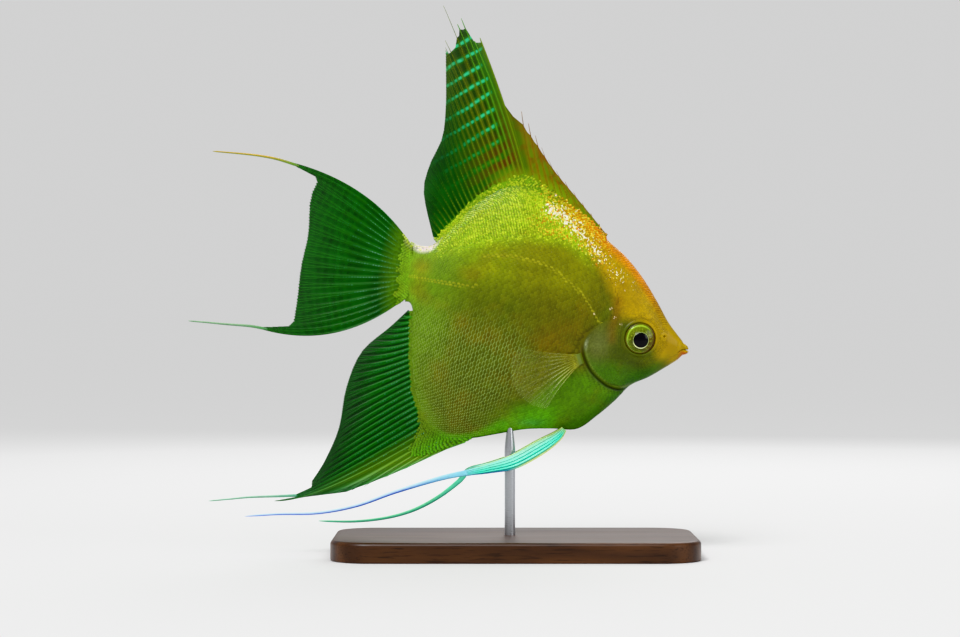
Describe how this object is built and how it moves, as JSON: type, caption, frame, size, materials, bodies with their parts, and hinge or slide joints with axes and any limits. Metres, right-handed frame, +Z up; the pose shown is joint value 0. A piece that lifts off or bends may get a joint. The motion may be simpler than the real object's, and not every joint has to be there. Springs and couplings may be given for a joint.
{
  "type": "freshwater angelfish model",
  "caption": "Life-size freshwater angelfish with tall swept fins and long trailing streamers, swimming head slightly down, held on a plain base by a rod under its belly.",
  "frame": {"origin": "middle of the underside of the stand's base", "axes": "+X the way the fish faces, +Y its left side, +Z up"},
  "size_m": [0.1508, 0.058, 0.164],
  "materials": {
    "skin": "scaled gold-form skin, olive yellow on the flank, orange gold on the nape and snout, green on the breast, wet sheen",
    "eye": "olive green iris with a pale gold ring round a black pupil, clear and glossy",
    "fin": "translucent green and olive membrane with paler raised rays and rows of pale turquoise flecks",
    "clear_fin": "clear membrane with fine yellowish rays",
    "pelvic_fin": "pale blue white rays, greener along the streamers",
    "walnut": "dark oiled wood, satin",
    "steel": "brushed along its length"
  },
  "bodies": {
    "root": {"head": "skin", "lower_jaw": "skin", "gill_cover_right": "skin", "gill_cover_left": "skin", "torso": "skin", "tail_stem": "skin", "dorsal_fin": "fin", "anal_fin": "fin", "anal_streamer": "fin", "tail_fin": "fin", "tail_streamer_upper": "fin", "tail_streamer_lower": "fin", "pectoral_fin_right": "clear_fin", "pectoral_fin_left": "clear_fin", "pelvic_fin_right": "pelvic_fin", "pelvic_streamer_right": "pelvic_fin", "pelvic_fin_left": "pelvic_fin", "pelvic_streamer_left": "pelvic_fin", "eye_right": "eye", "eye_left": "eye", "stand_base": "walnut", "stand_rod": "steel"}
  },
  "joints": []
}
